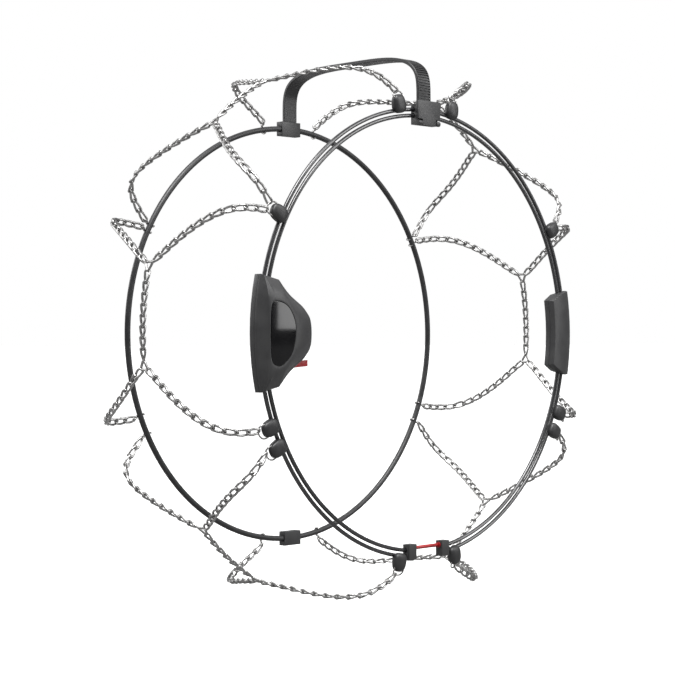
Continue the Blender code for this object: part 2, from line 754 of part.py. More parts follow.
def add_buckle(plastic, steel):
    low = (-BUCKLE_HALF_WIDTH, BUCKLE_FACE_Y, BUCKLE_Z[0])
    high = (BUCKLE_HALF_WIDTH, BACK_Y, BUCKLE_Z[1])
    base = box("buckle_base", low, high, plastic)
    for side_name, side in SIDES.items():
        ends = [(side * x, PLATE_PIN[0], PLATE_PIN[1]) for x in EAR_X]
        combine(base, cylinder(f"buckle_ear_{side_name}", *ends, EAR_RADIUS, 20), "UNION")
    groove_low = (-BUCKLE_GROOVE_HALF_WIDTH, BUCKLE_FACE_Y - WALL, BUCKLE_Z[0] - WALL)
    groove_high = (BUCKLE_GROOVE_HALF_WIDTH, BUCKLE_FLOOR_Y, BUCKLE_Z[1] + WALL)
    combine(base, box("buckle_groove", groove_low, groove_high), "DIFFERENCE")
    for side in SIDES.values():
        start = angle_at(ROD_RADII["hook_rod"], BUCKLE_ROD_END_X - 0.0004)
        cut_rod_sockets(base, side, start, start + 2.0)
    for name, (y, z), half in (
        ("plate", PLATE_PIN, PLATE_PIN_HALF_LENGTH),
        ("pawl", PAWL_PIN, PAWL_PIN_HALF_LENGTH),
    ):
        reach = half + GAP
        bore = cylinder(f"{name}_bore", (-reach, y, z), (reach, y, z), BUCKLE_BORE_RADIUS, 16)
        combine(base, bore, "DIFFERENCE")
        pin_ends = ((-half, y, z), (half, y, z))
        cylinder(f"{name}_pin", *pin_ends, BUCKLE_PIN_RADIUS, 16, steel)
    add_buckle_plate(plastic)
    add_pawl(steel)


def add_buckle_plate(plastic):
    """The plate that is pulled away from the wheel to tighten the strap."""
    half_outline = ((0.0113, 0.2462), (0.0113, 0.2537), (0.0190, 0.2537), (0.0200, 0.2755))
    outline = list(half_outline) + [(-x, z) for x, z in reversed(half_outline)]
    plate = prism("buckle_plate", outline, PLATE_Y, plastic)
    y, z = PLATE_PIN
    bore = cylinder("plate_hole", (-0.015, y, z), (0.015, y, z), BUCKLE_BORE_RADIUS, 16)
    combine(plate, bore, "DIFFERENCE")
    move_origin(plate, (0.0, y, z))


def add_pawl(steel):
    """The catch whose nose sits between two teeth of the strap."""
    y, z = PAWL_PIN
    boss_ends = ((-PAWL_HALF_WIDTH, y, z), (PAWL_HALF_WIDTH, y, z))
    pawl = cylinder("pawl", *boss_ends, 0.0016, 16, steel)
    arm = box("pawl_arm", (-PAWL_HALF_WIDTH, y - 0.0007, z), (PAWL_HALF_WIDTH, y + 0.0007, z + 0.0085))
    nose_low = (-PAWL_HALF_WIDTH + 0.0005, y, z + 0.0069)
    nose_high = (PAWL_HALF_WIDTH - 0.0005, y + 0.0026, z + 0.0081)
    combine(pawl, arm, "UNION")
    combine(pawl, box("pawl_nose", nose_low, nose_high), "UNION")
    bore = cylinder("pawl_hole", (-0.012, y, z), (0.012, y, z), BUCKLE_BORE_RADIUS, 16)
    combine(pawl, bore, "DIFFERENCE")
    move_origin(pawl, (0.0, y, z))


# ---------------------------------------------------------------- bottom coupling


def add_coupling(plastic, red):
    for side_name, side in SIDES.items():
        near, far = (side * x for x in BLOCK_X)
        low = (min(near, far), BLOCK_FACE_Y, BLOCK_Z[0])
        high = (max(near, far), BACK_Y, BLOCK_Z[1])
        block = box(f"coupling_block_{side_name}", low, high, plastic)
        start = 180.0 - angle_at(ROD_RADII["hook_rod"], BLOCK_ROD_END_X - 0.0002)
        cut_rod_sockets(block, side, start, start - 2.0)
        ends = [(side * x, LOCK_PIN_Y, LOCK_PIN_Z) for x in (BLOCK_X[0] - WALL, LOCK_BORE_END_X)]
        bore = cylinder(f"lock_bore_{side_name}", *ends, LOCK_BORE_RADIUS, 16)
        combine(block, bore, "DIFFERENCE")
    ends = [(x, LOCK_PIN_Y, LOCK_PIN_Z) for x in LOCK_PIN_X]
    cylinder("locking_pin", *ends, LOCK_PIN_RADIUS, 16, red)
    ends = [(x, LOCK_PIN_Y, LOCK_PIN_Z) for x in COLLAR_X]
    collar = cylinder("pin_collar", *ends, COLLAR_RADIUS, 16, red)
    ends = [(x, LOCK_PIN_Y, LOCK_PIN_Z) for x in (COLLAR_X[0] - WALL, COLLAR_X[1] + WALL)]
    combine(collar, cylinder("collar_bore", *ends, LOCK_BORE_RADIUS, 16), "DIFFERENCE")


def main():
    clear_scene()
    steel = new_finish("chain_steel", (0.55, 0.54, 0.52), 1.0, 0.35)
    pin_steel = new_finish("pin_steel", (0.6, 0.6, 0.6), 1.0, 0.3)
    sheath = new_finish("ring_sheath", (0.02, 0.02, 0.022), 0.0, 0.3)
    cable = new_finish("cable_sheath", (0.02, 0.02, 0.02), 0.0, 0.5)
    plastic = new_finish("housing_plastic", (0.025, 0.025, 0.027), 0.0, 0.55)
    cap_plastic = new_finish("cap_plastic", (0.03, 0.03, 0.03), 0.0, 0.5)
    gloss = new_finish("badge_gloss", (0.01, 0.01, 0.01), 0.0, 0.08)
    rubber = new_finish("strap_rubber", (0.02, 0.02, 0.02), 0.0, 0.5)
    red = new_finish("red_plastic", (0.55, 0.02, 0.02), 0.0, 0.35)
    add_chains(steel)
    add_caps(cap_plastic)
    add_outer_ring(sheath)
    add_inner_ring(cable, plastic)
    add_tension_housing(plastic, gloss)
    add_reel(plastic, pin_steel)
    add_release_lever(red, pin_steel)
    add_guide_housing(plastic)
    add_strap(rubber)
    add_buckle(plastic, pin_steel)
    add_coupling(plastic, red)


main()
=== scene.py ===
"""Snow chain for a car tyre, in the shape that it takes when it is fitted.

The wheel turns about the Y axis, the outer side of the wheel faces -Y and +Z is up. Angles around the
wheel are in degrees from the top, positive towards +X, and lengths are in metres. The left half of
the chain is the half at -X.
"""

from math import asin, atan2, cos, degrees, pi, radians, sin

import bmesh
import bpy
import numpy as np
from mathutils import Matrix, Vector


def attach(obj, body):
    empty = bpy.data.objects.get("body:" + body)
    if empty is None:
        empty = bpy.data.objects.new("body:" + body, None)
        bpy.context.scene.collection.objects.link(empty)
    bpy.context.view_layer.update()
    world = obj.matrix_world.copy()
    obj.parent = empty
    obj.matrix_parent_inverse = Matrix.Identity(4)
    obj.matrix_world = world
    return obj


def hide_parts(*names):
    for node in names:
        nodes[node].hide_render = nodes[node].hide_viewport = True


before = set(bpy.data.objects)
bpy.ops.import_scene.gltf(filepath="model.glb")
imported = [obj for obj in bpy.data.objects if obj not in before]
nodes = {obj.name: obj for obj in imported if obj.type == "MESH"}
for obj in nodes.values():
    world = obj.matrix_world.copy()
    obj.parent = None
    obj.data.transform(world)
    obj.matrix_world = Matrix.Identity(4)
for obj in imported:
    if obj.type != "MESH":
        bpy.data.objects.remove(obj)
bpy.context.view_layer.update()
bpy.ops.object.select_all(action="DESELECT")


# ---------------------------------------------------------------- studio
# A pale floor at the height where the tyre would stand, a soft white surround, a broad soft sun and
# four soft panels. The camera looks at the wheel's centre, half from the side and half from ahead.

azimuth, elevation, distance = radians(45.18), radians(-0.09), 2.2194
camera_data = bpy.data.cameras.new("camera")
camera_data.lens = 95.64
camera_data.sensor_width = 36.0
camera_data.shift_x = -0.0257
camera_data.shift_y = -0.0062
camera = bpy.data.objects.new("camera", camera_data)
bpy.context.collection.objects.link(camera)
camera.location = (
    -distance * sin(azimuth) * cos(elevation),
    -distance * cos(azimuth) * cos(elevation),
    distance * sin(elevation),
)
forward = -Vector(camera.location).normalized()
level = forward.cross(Vector((0.0, 0.0, 1.0))).normalized()
upright = level.cross(forward)
roll = radians(-0.20)
right = level * cos(roll) + upright * sin(roll)
up = upright * cos(roll) - level * sin(roll)
camera.rotation_mode = "QUATERNION"
camera.rotation_quaternion = Matrix((right, up, -forward)).transposed().to_quaternion()
bpy.context.scene.camera = camera
bpy.context.scene.view_settings.view_transform = "Standard"

FLOOR_Z = -0.3285
bpy.ops.mesh.primitive_circle_add(vertices=96, radius=60.0, fill_type="NGON", location=(0, 0, FLOOR_Z))
floor = bpy.context.object
floor.name = "floor"

# The floor is pale to the eye and dark to every other ray, so that glossy pieces don't mirror it.
floor_paint = bpy.data.materials.new("floor_paint")
floor_paint.use_nodes = True
floor_shader = floor_paint.node_tree.nodes["Principled BSDF"]
floor_ray = floor_paint.node_tree.nodes.new("ShaderNodeLightPath")
floor_tone = floor_paint.node_tree.nodes.new("ShaderNodeMix")
floor_tone.data_type = "RGBA"
floor_tone.inputs["A"].default_value = (0.22, 0.22, 0.22, 1.0)
floor_tone.inputs["B"].default_value = (0.93, 0.93, 0.93, 1.0)
floor_paint.node_tree.links.new(floor_ray.outputs["Is Camera Ray"], floor_tone.inputs["Factor"])
floor_paint.node_tree.links.new(floor_tone.outputs["Result"], floor_shader.inputs["Base Color"])
floor_shader.inputs["Roughness"].default_value = 0.8
floor_shader.inputs["Specular IOR Level"].default_value = 0.1
floor.data.materials.append(floor_paint)

world = bpy.data.worlds.new("surround")
bpy.context.scene.world = world
world.use_nodes = True
sky = world.node_tree
sky_out = sky.nodes["World Output"]
seen = sky.nodes["Background"]
seen.inputs["Color"].default_value = (1.0, 1.0, 1.0, 1.0)
seen.inputs["Strength"].default_value = 1.0
lighting = sky.nodes.new("ShaderNodeBackground")
lighting.inputs["Strength"].default_value = 0.75
sky_direction = sky.nodes.new("ShaderNodeTexCoord")
sky_height = sky.nodes.new("ShaderNodeSeparateXYZ")
sky_ramp = sky.nodes.new("ShaderNodeValToRGB")
sky_ramp.color_ramp.elements[0].position = 0.0
sky_ramp.color_ramp.elements[0].color = (0.12, 0.12, 0.125, 1.0)
sky_ramp.color_ramp.elements[1].position = 0.75
sky_ramp.color_ramp.elements[1].color = (1.0, 1.0, 1.0, 1.0)
camera_ray = sky.nodes.new("ShaderNodeLightPath")
pick = sky.nodes.new("ShaderNodeMixShader")
sky.links.new(sky_direction.outputs["Generated"], sky_height.inputs[0])
sky.links.new(sky_height.outputs["Z"], sky_ramp.inputs["Fac"])
sky.links.new(sky_ramp.outputs["Color"], lighting.inputs["Color"])
sky.links.new(camera_ray.outputs["Is Camera Ray"], pick.inputs["Fac"])
sky.links.new(lighting.outputs["Background"], pick.inputs[1])
sky.links.new(seen.outputs["Background"], pick.inputs[2])
sky.links.new(pick.outputs["Shader"], sky_out.inputs["Surface"])

sun_data = bpy.data.lights.new("sun", "SUN")
sun_data.energy = 3.0
sun_data.angle = radians(28.0)
sun = bpy.data.objects.new("sun", sun_data)
bpy.context.collection.objects.link(sun)
sun.rotation_mode = "QUATERNION"
sun.rotation_quaternion = Vector((-0.35, -0.25, 1.0)).to_track_quat("Z", "Y")

# Each panel: its name, place, the point that it faces, width, height and power.
panels = (
    ("top_panel", (-0.5, -0.9, 1.7), (0.0, 0.0, 0.1), 1.3, 0.7, 22.0),
    ("badge_panel", (1.251, -1.5, 0.322), (1.251, -0.5, 0.322), 0.5, 0.62, 6.0),
    ("neck_panel", (0.85, -1.5, 1.15), (-0.25, -0.13, 0.05), 1.0, 0.7, 16.0),
    ("back_panel", (-0.9, 1.6, 0.9), (0.0, 0.0, 0.0), 1.0, 1.0, 14.0),
)
for name, place, target, width, height, power in panels:
    panel_data = bpy.data.lights.new(name, "AREA")
    panel_data.shape = "RECTANGLE"
    panel_data.size = width
    panel_data.size_y = height
    panel_data.energy = power
    panel = bpy.data.objects.new(name, panel_data)
    bpy.context.collection.objects.link(panel)
    panel.location = place
    panel.rotation_mode = "QUATERNION"
    away = Vector(place) - Vector(target)
    panel.rotation_quaternion = away.to_track_quat("Z", "Y")
    panel.visible_camera = False


# ---------------------------------------------------------------- chain
# Galvanised steel chain of twisted oval links, bent from 3 mm wire. On each half of the tyre six
# lengths cross the tread, and a flat triangular link on the tread's middle splits each from its mate.

# Uneven surface that every finish shares: fine grain that lifts, and slow patches that shade.
grain = bpy.data.node_groups.new("surface_grain", "ShaderNodeTree")
for socket, start_value in (
    ("Grain Scale", 900.0),
    ("Grain Height", 0.2),
    ("Patch Scale", 60.0),
    ("Rough Low", 0.3),
    ("Rough High", 0.5),
):
    made = grain.interface.new_socket(name=socket, in_out="INPUT", socket_type="NodeSocketFloat")
    made.default_value = start_value
grain.interface.new_socket(name="Patch", in_out="OUTPUT", socket_type="NodeSocketFloat")
grain.interface.new_socket(name="Roughness", in_out="OUTPUT", socket_type="NodeSocketFloat")
grain.interface.new_socket(name="Normal", in_out="OUTPUT", socket_type="NodeSocketVector")
inside = grain.nodes
group_in = inside.new("NodeGroupInput")
group_out = inside.new("NodeGroupOutput")
where = inside.new("ShaderNodeTexCoord")
fine = inside.new("ShaderNodeTexNoise")
fine.inputs["Detail"].default_value = 3.0
slow = inside.new("ShaderNodeTexNoise")
slow.inputs["Detail"].default_value = 4.0
slow.inputs["Roughness"].default_value = 0.6
spread = inside.new("ShaderNodeMapRange")
spread.inputs["From Min"].default_value = 0.35
spread.inputs["From Max"].default_value = 0.65
rough = inside.new("ShaderNodeMapRange")
lift = inside.new("ShaderNodeBump")
lift.inputs["Distance"].default_value = 0.0003
grain.links.new(where.outputs["Object"], fine.inputs["Vector"])
grain.links.new(where.outputs["Object"], slow.inputs["Vector"])
grain.links.new(group_in.outputs["Grain Scale"], fine.inputs["Scale"])
grain.links.new(group_in.outputs["Patch Scale"], slow.inputs["Scale"])
grain.links.new(slow.outputs["Fac"], spread.inputs["Value"])
grain.links.new(spread.outputs["Result"], rough.inputs["Value"])
grain.links.new(group_in.outputs["Rough Low"], rough.inputs["To Min"])
grain.links.new(group_in.outputs["Rough High"], rough.inputs["To Max"])
grain.links.new(group_in.outputs["Grain Height"], lift.inputs["Strength"])
grain.links.new(fine.outputs["Fac"], lift.inputs["Height"])
grain.links.new(spread.outputs["Result"], group_out.inputs["Patch"])
grain.links.new(rough.outputs["Result"], group_out.inputs["Roughness"])
grain.links.new(lift.outputs["Normal"], group_out.inputs["Normal"])


def new_finish(name, dark, pale, metallic, grain_values, coat=0.0, coat_roughness=0.1):
    """A finish that drifts between a dark and a pale tone, with grain."""
    finish = bpy.data.materials.new(name)
    finish.use_nodes = True
    tree = finish.node_tree
    shader = tree.nodes["Principled BSDF"]
    shader.inputs["Metallic"].default_value = metallic
    shader.inputs["Coat Weight"].default_value = coat
    shader.inputs["Coat Roughness"].default_value = coat_roughness
    surface = tree.nodes.new("ShaderNodeGroup")
    surface.node_tree = grain
    for socket, value in zip(surface.inputs, grain_values):
        socket.default_value = value
    tone = tree.nodes.new("ShaderNodeMix")
    tone.data_type = "RGBA"
    tone.inputs["A"].default_value = (*dark, 1.0)
    tone.inputs["B"].default_value = (*pale, 1.0)
    tree.links.new(surface.outputs["Patch"], tone.inputs["Factor"])
    tree.links.new(tone.outputs["Result"], shader.inputs["Base Color"])
    tree.links.new(surface.outputs["Roughness"], shader.inputs["Roughness"])
    tree.links.new(surface.outputs["Normal"], shader.inputs["Normal"])
    return finish


chain_steel = new_finish(
    "zinc_chain_steel", (0.24, 0.238, 0.235), (0.46, 0.455, 0.45), 1.0, (1400.0, 0.12, 260.0, 0.20, 0.36)
)

TYRE_RADIUS = 0.3285
TYRE_HALF_WIDTH = 0.1130
WIDEST_RADIUS = 0.2770
CHAIN_LIFT = 0.0045
HUBWARD_END_RADIUS = 0.2400
SIDES = (("left", -1), ("right", 1))
TRIANGLE_ANGLES = (26.5, 44.0, 76.0, 97.0, 131.6, 151.0)

# The tyre's section from the tread's middle to below its widest place: depth, radius and run.
turn = np.linspace(0.0, pi / 2, 600)
section_y = (TYRE_HALF_WIDTH + CHAIN_LIFT) * np.sqrt(np.sin(turn))
section_r = WIDEST_RADIUS + (TYRE_RADIUS - WIDEST_RADIUS + CHAIN_LIFT) * np.sqrt(np.abs(np.cos(turn)))
section_y = np.append(section_y, section_y[-1])
section_r = np.append(section_r, HUBWARD_END_RADIUS)
section_s = np.append(0.0, np.cumsum(np.hypot(np.diff(section_y), np.diff(section_r))))


def around_wheel(radius, angle, y):
    """The place at this radius and angle, and at this depth along the axle."""
    return Vector((radius * sin(radians(angle)), y, radius * cos(radians(angle))))


def on_tyre(angle, reach):
    """The chain's place this far from the tread's middle, positive to the outer side."""
    y = float(np.interp(abs(reach), section_s, section_y))
    radius = float(np.interp(abs(reach), section_s, section_r))
    return around_wheel(radius, angle, -y if reach > 0 else y)


def off_tyre(angle, reach):
    """The direction that points straight out of the tyre there."""
    step = 0.002
    before = on_tyre(angle, reach - step)
    after = on_tyre(angle, reach + step)
    around = Vector((cos(radians(angle)), 0.0, -sin(radians(angle))))
    outward = (after - before).cross(around).normalized()
    here = on_tyre(angle, reach)
    return outward if outward.dot(here) > 0 else -outward


# One link: a ring of wire, pulled to an oval and twisted a quarter turn from end to end.
LINK_WIRE_RADIUS = 0.00148
LINK_BEND_RADIUS = 0.0031
LINK_HALF_STRAIGHT = 0.0048
LINK_PITCH = 0.0130
bpy.ops.mesh.primitive_torus_add(
    major_segments=16, minor_segments=6, major_radius=LINK_BEND_RADIUS, minor_radius=LINK_WIRE_RADIUS
)
link = bpy.context.object
link.name = "one_link"
bpy.ops.object.mode_set(mode="EDIT")
for half in (-1, 1):
    bpy.ops.mesh.select_all(action="DESELECT")
    shape = bmesh.from_edit_mesh(link.data)
    for vert in shape.verts:
        vert.select = vert.co.x * half > 0.0002
    shape.select_flush(True)
    bmesh.update_edit_mesh(link.data)
    bpy.ops.transform.translate(value=(half * LINK_HALF_STRAIGHT, 0.0, 0.0))
bpy.ops.object.mode_set(mode="OBJECT")
quarter = link.modifiers.new("quarter_turn", "SIMPLE_DEFORM")
quarter.deform_method = "TWIST"
quarter.deform_axis = "X"
quarter.angle = radians(90.0)
bpy.ops.object.modifier_apply(modifier="quarter_turn")
bpy.ops.object.shade_smooth()
link.data.materials.append(chain_steel)


def lay_links(name, places, pitch, node=None):
    """Lays links end to end along places, each a point with the direction out of the tyre."""
    points = np.array([place for place, _ in places])
    steps = np.linalg.norm(np.diff(points, axis=0), axis=1)
    run = np.append(0.0, np.cumsum(steps))
    count = max(1, round(run[-1] / pitch))
    ends = np.linspace(0.0, run[-1], count + 1)
    pins = [Vector([np.interp(end, run, points[:, axis]) for axis in range(3)]) for end in ends]
    bpy.ops.object.select_all(action="DESELECT")
    laid = []
    for number, (a, b) in enumerate(zip(pins, pins[1:])):
        middle = run.searchsorted((ends[number] + ends[number + 1]) / 2)
        outward = places[min(middle, len(places) - 1)][1]
        along = (b - a).normalized()
        across = outward.cross(along).normalized()
        outward = along.cross(across)
        turned = Matrix((along, across, outward)).transposed().to_4x4()
        stretch = Matrix.Diagonal(((b - a).length / LINK_PITCH, 1.0, 1.0, 1.0))
        copy = link.copy()
        copy.data = link.data.copy()
        copy.data.transform(Matrix.Translation((a + b) / 2) @ turned @ stretch)
        bpy.context.collection.objects.link(copy)
        copy.select_set(True)
        laid.append(copy)
    bpy.context.view_layer.objects.active = laid[0]
    bpy.ops.object.join()
    chain = bpy.context.object
    chain.name = name
    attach(chain, "chain")
    if node:
        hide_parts(node)
    return chain


# Each cross chain: its triangular link, the angle where its ends meet the rings, and its bow on the way.
CROSS_ROUTES = (
    (0, 9.7, -0.22),
    (1, 60.1, 0.08),
    (2, 62.1, 0.08),
    (3, 111.7, 0.14),
    (4, 117.2, 0.07),
    (5, 169.4, -0.22),
)
CROSS_PITCH = 0.0133
TRIANGLE_CORNER = 0.0062
BOW_START = 0.0080
CAP_END_RADIUS = 0.2880
HOOK_END_RADIUS = 0.2720
outer_reach = float(np.interp(-CAP_END_RADIUS, -section_r, section_s))
inner_reach = float(np.interp(-HOOK_END_RADIUS, -section_r, section_s))
for side_name, side in SIDES:
    for number, end_angle, bow in CROSS_ROUTES:
        start_angle = TRIANGLE_ANGLES[number]
        halves = []
        for half_name, reach, sign in (("outer", outer_reach, 1), ("inner", inner_reach, -1)):
            places = []
            for run in np.linspace(TRIANGLE_CORNER, reach, 160):
                along = max(0.0, (run - BOW_START) / (reach - BOW_START))
                share = along + bow * sin(pi * along)
                angle = side * (start_angle + (end_angle - start_angle) * share)
                places.append((on_tyre(angle, sign * run), off_tyre(angle, sign * run)))
            links = lay_links(f"{half_name}_links_{side_name}_{number + 1}", places, CROSS_PITCH)
            halves.append(links)
        bpy.ops.object.select_all(action="DESELECT")
        for half in halves:
            half.select_set(True)
        bpy.context.view_layer.objects.active = halves[0]
        bpy.ops.object.join()
        whole = bpy.context.object
        whole.name = f"chain_links_{side_name}_{number + 1}"
        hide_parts(f"cross_chain_{side_name}_{number + 1}")

# Triangular links: a closed triangle of wire that lies flat on the tread, its base across the tread.
# Each corner takes one chain, and the tips of a pair point at each other.


def bend_wire(name, points, radius, closed=False, sides=8, smooth=True, steps=5):
    """Round wire through points, made a mesh."""
    bpy.ops.object.select_all(action="DESELECT")
    route = bpy.data.curves.new(name, "CURVE")
    route.dimensions = "3D"
    route.bevel_depth = radius
    route.bevel_resolution = max(0, sides // 2 - 2)
    route.use_fill_caps = not closed
    route.resolution_u = steps
    if smooth:
        line = route.splines.new("BEZIER")
        line.bezier_points.add(len(points) - 1)
        for knot, point in zip(line.bezier_points, points):
            knot.co = point
            knot.handle_left_type = "AUTO"
            knot.handle_right_type = "AUTO"
    else:
        line = route.splines.new("POLY")
        line.points.add(len(points) - 1)
        for knot, point in zip(line.points, points):
            knot.co = (*point, 1.0)
    line.use_cyclic_u = closed
    wire = bpy.data.objects.new(name, route)
    bpy.context.collection.objects.link(wire)
    wire.select_set(True)
    bpy.context.view_layer.objects.active = wire
    bpy.ops.object.convert(target="MESH")
    wire = bpy.context.object
    wire.name = name
    bpy.ops.object.mode_set(mode="EDIT")
    bpy.ops.mesh.select_all(action="SELECT")
    bpy.ops.mesh.remove_doubles(threshold=0.000002)
    bpy.ops.mesh.normals_make_consistent(inside=False)
    bpy.ops.object.mode_set(mode="OBJECT")
    bpy.ops.object.shade_smooth_by_angle(angle=radians(50.0))
    return wire


TRIANGLE_WIRE_RADIUS = 0.00155
TRIANGLE_TIP = 0.0118
tread = TYRE_RADIUS + CHAIN_LIFT
corner_places = ((0.0006, -0.0068), (0.0006, 0.0068), (0.0128, 0.0))
rounding = 0.0017
triangle = []
for i in range(3):
    here = Vector(corner_places[i])
    to_next = (Vector(corner_places[(i + 1) % 3]) - here).normalized()
    to_last = (Vector(corner_places[i - 1]) - here).normalized()
    inward = (to_next + to_last).normalized()
    half_corner = to_next.angle(to_last) / 2
    centre = here + inward * rounding / sin(half_corner)
    first = atan2(*reversed(here + to_last * rounding / np.tan(half_corner) - centre))
    last = atan2(*reversed(here + to_next * rounding / np.tan(half_corner) - centre))
    sweep = (last - first + pi) % (2 * pi) - pi
    for share in np.linspace(0.0, 1.0, 5):
        angle = first + sweep * share
        triangle.append((centre.x + rounding * cos(angle), centre.y + rounding * sin(angle)))
tip_ways = (1, -1, 1, -1, 1, -1)
for side_name, side in SIDES:
    for number, start_angle in enumerate(TRIANGLE_ANGLES):
        points = []
        for along, across in triangle:
            angle = side * (start_angle + tip_ways[number] * degrees(along / tread))
            points.append(around_wheel(tread, angle, across))
        name = f"triangle_link_{side_name}_{number + 1}"
        ring = bend_wire(name, points, TRIANGLE_WIRE_RADIUS, closed=True, smooth=False)
        ring.data.materials.append(chain_steel)
        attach(ring, "chain")
    for pair, (first, second) in enumerate(((0, 1), (2, 3), (4, 5)), start=1):
        start = TRIANGLE_ANGLES[first] + degrees(TRIANGLE_TIP / tread)
        end = TRIANGLE_ANGLES[second] - degrees(TRIANGLE_TIP / tread)
        beside_middle = 0.00001
        places = []
        for angle in np.linspace(side * start, side * end, 60):
            places.append((on_tyre(angle, beside_middle), off_tyre(angle, beside_middle)))
        node = f"centre_chain_{side_name}_{pair}"
        lay_links(f"tread_links_{side_name}_{pair}", places, LINK_PITCH, node)
bpy.data.objects.remove(link)


# ---------------------------------------------------------------- anchor caps
# Rounded caps of satin black plastic, five on each half of the ring. Each is clipped on the outer rod,
# and a wire bail in its far end holds the chain's last link.

cap_plastic = new_finish(
    "cap_plastic", (0.014, 0.014, 0.015), (0.021, 0.021, 0.022), 0.0, (1800.0, 0.10, 120.0, 0.38, 0.5)
)
bail_steel = new_finish(
    "bail_wire_steel", (0.28, 0.275, 0.27), (0.46, 0.455, 0.45), 1.0, (1400.0, 0.08, 200.0, 0.18, 0.32)
)
CAP_ANGLES = (("top", 9.8), ("upper", 61.1), ("middle", 112.3), ("lower", 117.6), ("bottom", 169.8))
CAP_RADIUS = 0.2729
CAP_Y = -0.1200
CAP_HALF_WIDTH = 0.0095
CAP_HALF_DEPTH = 0.0061
CAP_HALF_LENGTH = 0.0111
CAP_ROUNDNESS = 0.72
BAIL_WIRE_RADIUS = 0.00095
for side_name, side in SIDES:
    for place_name, angle in CAP_ANGLES:
        bpy.ops.object.select_all(action="DESELECT")
        bpy.ops.mesh.primitive_uv_sphere_add(segments=36, ring_count=24, radius=1.0)
        cap = bpy.context.object
        cap.name = f"anchor_cap_{side_name}_{place_name}"
        for vert in cap.data.vertices:
            across, deep, high = (np.sign(share) * abs(share) ** CAP_ROUNDNESS for share in vert.co)
            narrow = 0.98 - 0.07 * high
            thin = 0.97 - 0.10 * high
            vert.co = (
                CAP_HALF_WIDTH * across * narrow,
                CAP_HALF_DEPTH * deep * thin,
                CAP_HALF_LENGTH * high,
            )
        bpy.ops.object.shade_smooth()
        cap.data.materials.append(cap_plastic)
        seat = around_wheel(CAP_RADIUS, side * angle, CAP_Y)
        placed = Matrix.Translation(seat) @ Matrix.Rotation(radians(side * angle), 4, "Y")
        cap.data.transform(placed)
        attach(cap, "chain")
        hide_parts(f"anchor_{side_name}_{place_name}")

        # The bail, from its foot in the cap up one leg, over its tip and down the other.
        leg = [(0.0066, -0.0010, 0.0040), (0.0076, -0.0006, 0.0088), (0.0074, 0.0005, 0.0116)]
        leg += [(0.0058, 0.0017, 0.0139), (0.0030, 0.0026, 0.0150)]
        bail_line = [(-x, y, z) for x, y, z in leg] + [(0.0, 0.0029, 0.0153)] + leg[::-1]
        name = f"anchor_bail_{side_name}_{place_name}"
        bail = bend_wire(name, bail_line, BAIL_WIRE_RADIUS, steps=4)
        bail.data.transform(placed)
        bail.data.materials.append(bail_steel)
        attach(bail, "chain")


# ---------------------------------------------------------------- outer ring
# Two parallel spring-steel rods in glossy black sheaths, in four stretches: from the buckle to each
# side housing, and from there to the coupling at the bottom. The caps clip on the outer rod.

rod_sheath = new_finish(
    "gloss_rod_sheath",
    (0.010, 0.010, 0.011),
    (0.018, 0.018, 0.020),
    0.0,
    (700.0, 0.05, 90.0, 0.16, 0.26),
    0.6,
)
ROD_Y = -0.1170
ROD_RADIUS = 0.0024
ROD_RADII = {"hook_rod": 0.2654, "slide_rod": 0.2582}
BUCKLE_ROD_END_X = 0.0150
BLOCK_ROD_END_X = 0.0320
HOUSING_ROD_END_Z = {"left": 0.0565, "right": 0.0470}
for side_name, side in SIDES:
    for rod_name, ring_radius in ROD_RADII.items():
        top_end = degrees(asin(BUCKLE_ROD_END_X / ring_radius))
        bottom_end = 180.0 - degrees(asin(BLOCK_ROD_END_X / ring_radius))
        half_gap = degrees(asin(HOUSING_ROD_END_Z[side_name] / ring_radius))
        for stretch, start, end in (("upper", top_end, 90 - half_gap), ("lower", 90 + half_gap, bottom_end)):
            points = []
            for angle in np.linspace(side * start, side * end, 46):
                points.append(around_wheel(ring_radius, angle, ROD_Y))
            node = f"{rod_name}_{side_name}_{stretch}"
            rod = bend_wire(f"{node}_sheath", points, ROD_RADIUS, sides=16, smooth=False)
            rod.data.materials.append(rod_sheath)
            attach(rod, "chain")
            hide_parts(node)


# ---------------------------------------------------------------- inner ring
# A steel rope in a black sheath lies behind the tyre. Open wire hooks on the ends of the cross chains
# hang on it, a moulded block at the top holds the strap, and a connector closes it at the bottom.

